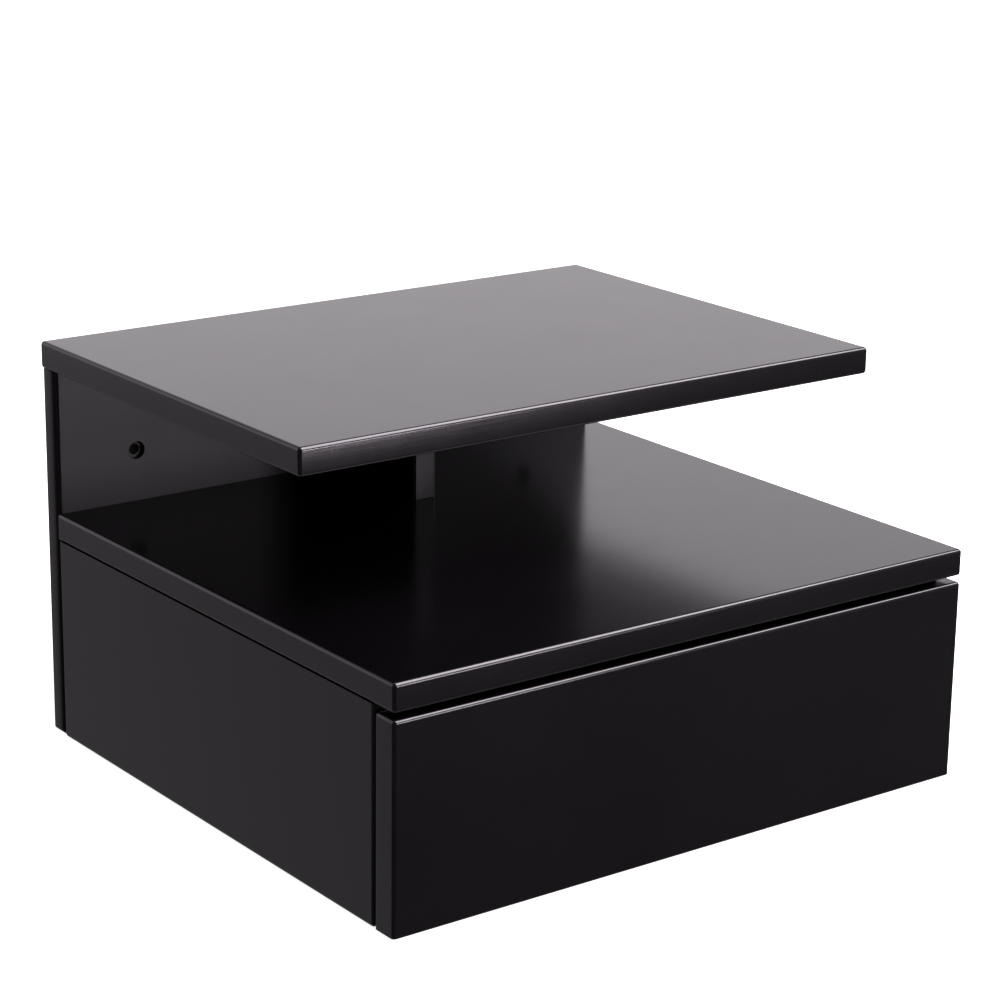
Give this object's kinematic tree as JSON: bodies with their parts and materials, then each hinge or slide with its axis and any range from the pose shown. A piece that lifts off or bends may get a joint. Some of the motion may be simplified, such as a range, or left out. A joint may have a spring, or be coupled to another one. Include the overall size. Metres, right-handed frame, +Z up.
{
  "type": "floating nightstand",
  "caption": "Wall-hung nightstand in black lacquered board: a shallow top shelf and a deep lower shelf on a back panel, a short divider between them, and a full-width drawer on roller runners.",
  "frame": {"origin": "the middle of the footprint, at the level of the lowest edges of the case", "axes": "X is the width, with +X to the right as seen from the front; the wall is at +Y and the drawer opens towards -Y; +Z is up"},
  "size_m": [0.37, 0.34, 0.225],
  "materials": {
    "black_lacquer": "satin black lacquer on fibreboard",
    "drawer_foil": "matt dark foil on fibreboard",
    "bottom_foil": "matt dark foil on hardboard",
    "runner_steel": "black powder coat",
    "nylon": "natural nylon",
    "zinc": "bright zinc"
  },
  "bodies": {
    "case": {"top_shelf": "black_lacquer", "back_panel": "black_lacquer", "divider": "black_lacquer", "lower_shelf": "black_lacquer", "side_panel_left": "black_lacquer", "side_panel_right": "black_lacquer", "cabinet_runner_left": "runner_steel", "cabinet_runner_right": "runner_steel", "cabinet_roller_rivet_left": "zinc", "cabinet_roller_rivet_right": "zinc", "side_cam_left_front": "zinc", "side_cam_left_rear": "zinc", "side_cam_right_front": "zinc", "side_cam_right_rear": "zinc", "side_cam_bolt_left_front": "zinc", "side_cam_bolt_left_rear": "zinc", "side_cam_bolt_right_front": "zinc", "side_cam_bolt_right_rear": "zinc", "side_screw_left_lower": "zinc", "side_screw_left_upper": "zinc", "side_screw_right_lower": "zinc", "side_screw_right_upper": "zinc", "top_cam_left": "zinc", "top_cam_right": "zinc", "top_cam_bolt_left": "zinc", "top_cam_bolt_right": "zinc", "shelf_screw_left": "zinc", "shelf_screw_right": "zinc", "divider_cam": "zinc", "divider_cam_bolt": "zinc", "divider_rear_screw": "zinc", "divider_lower_screw": "zinc", "cabinet_runner_screw_left_front": "zinc", "cabinet_runner_screw_left_rear": "zinc", "cabinet_runner_screw_right_front": "zinc", "cabinet_runner_screw_right_rear": "zinc"},
    "drawer": {"drawer_front": "black_lacquer", "drawer_side_left": "drawer_foil", "drawer_side_right": "drawer_foil", "drawer_back": "drawer_foil", "drawer_bottom": "bottom_foil", "drawer_runner_left": "runner_steel", "drawer_runner_right": "runner_steel", "drawer_roller_rivet_left": "zinc", "drawer_roller_rivet_right": "zinc", "drawer_cam_left": "zinc", "drawer_cam_right": "zinc", "drawer_cam_bolt_left": "zinc", "drawer_cam_bolt_right": "zinc", "drawer_back_screw_left": "zinc", "drawer_back_screw_right": "zinc", "drawer_runner_screw_left_front": "zinc", "drawer_runner_screw_left_rear": "zinc", "drawer_runner_screw_right_front": "zinc", "drawer_runner_screw_right_rear": "zinc"},
    "left_cabinet_roller": {"cabinet_roller_left": "nylon"},
    "right_cabinet_roller": {"cabinet_roller_right": "nylon"},
    "left_drawer_roller": {"drawer_roller_left": "nylon"},
    "right_drawer_roller": {"drawer_roller_right": "nylon"}
  },
  "joints": [
    {"name": "drawer_slide", "type": "slide", "parent": "case", "child": "drawer", "axis": [0, -1, 0], "range_m": [0, 0.18]},
    {"name": "left_cabinet_roller_turn", "type": "hinge", "parent": "case", "child": "left_cabinet_roller", "pos_m": [-0.1654, -0.139, 0.0205], "axis": [1, 0, 0], "continuous": true},
    {"name": "right_cabinet_roller_turn", "type": "hinge", "parent": "case", "child": "right_cabinet_roller", "pos_m": [0.1654, -0.139, 0.0205], "axis": [1, 0, 0], "continuous": true},
    {"name": "left_drawer_roller_turn", "type": "hinge", "parent": "drawer", "child": "left_drawer_roller", "pos_m": [-0.1621, 0.0845, 0.0205], "axis": [1, 0, 0], "continuous": true},
    {"name": "right_drawer_roller_turn", "type": "hinge", "parent": "drawer", "child": "right_drawer_roller", "pos_m": [0.1621, 0.0845, 0.0205], "axis": [1, 0, 0], "continuous": true}
  ],
  "couplings": [
    {"joint": "left_cabinet_roller_turn", "follows": "drawer_slide", "rad_per_m": 111.11},
    {"joint": "right_cabinet_roller_turn", "follows": "drawer_slide", "rad_per_m": 111.11},
    {"joint": "left_drawer_roller_turn", "follows": "drawer_slide", "rad_per_m": 111.11},
    {"joint": "right_drawer_roller_turn", "follows": "drawer_slide", "rad_per_m": 111.11}
  ]
}
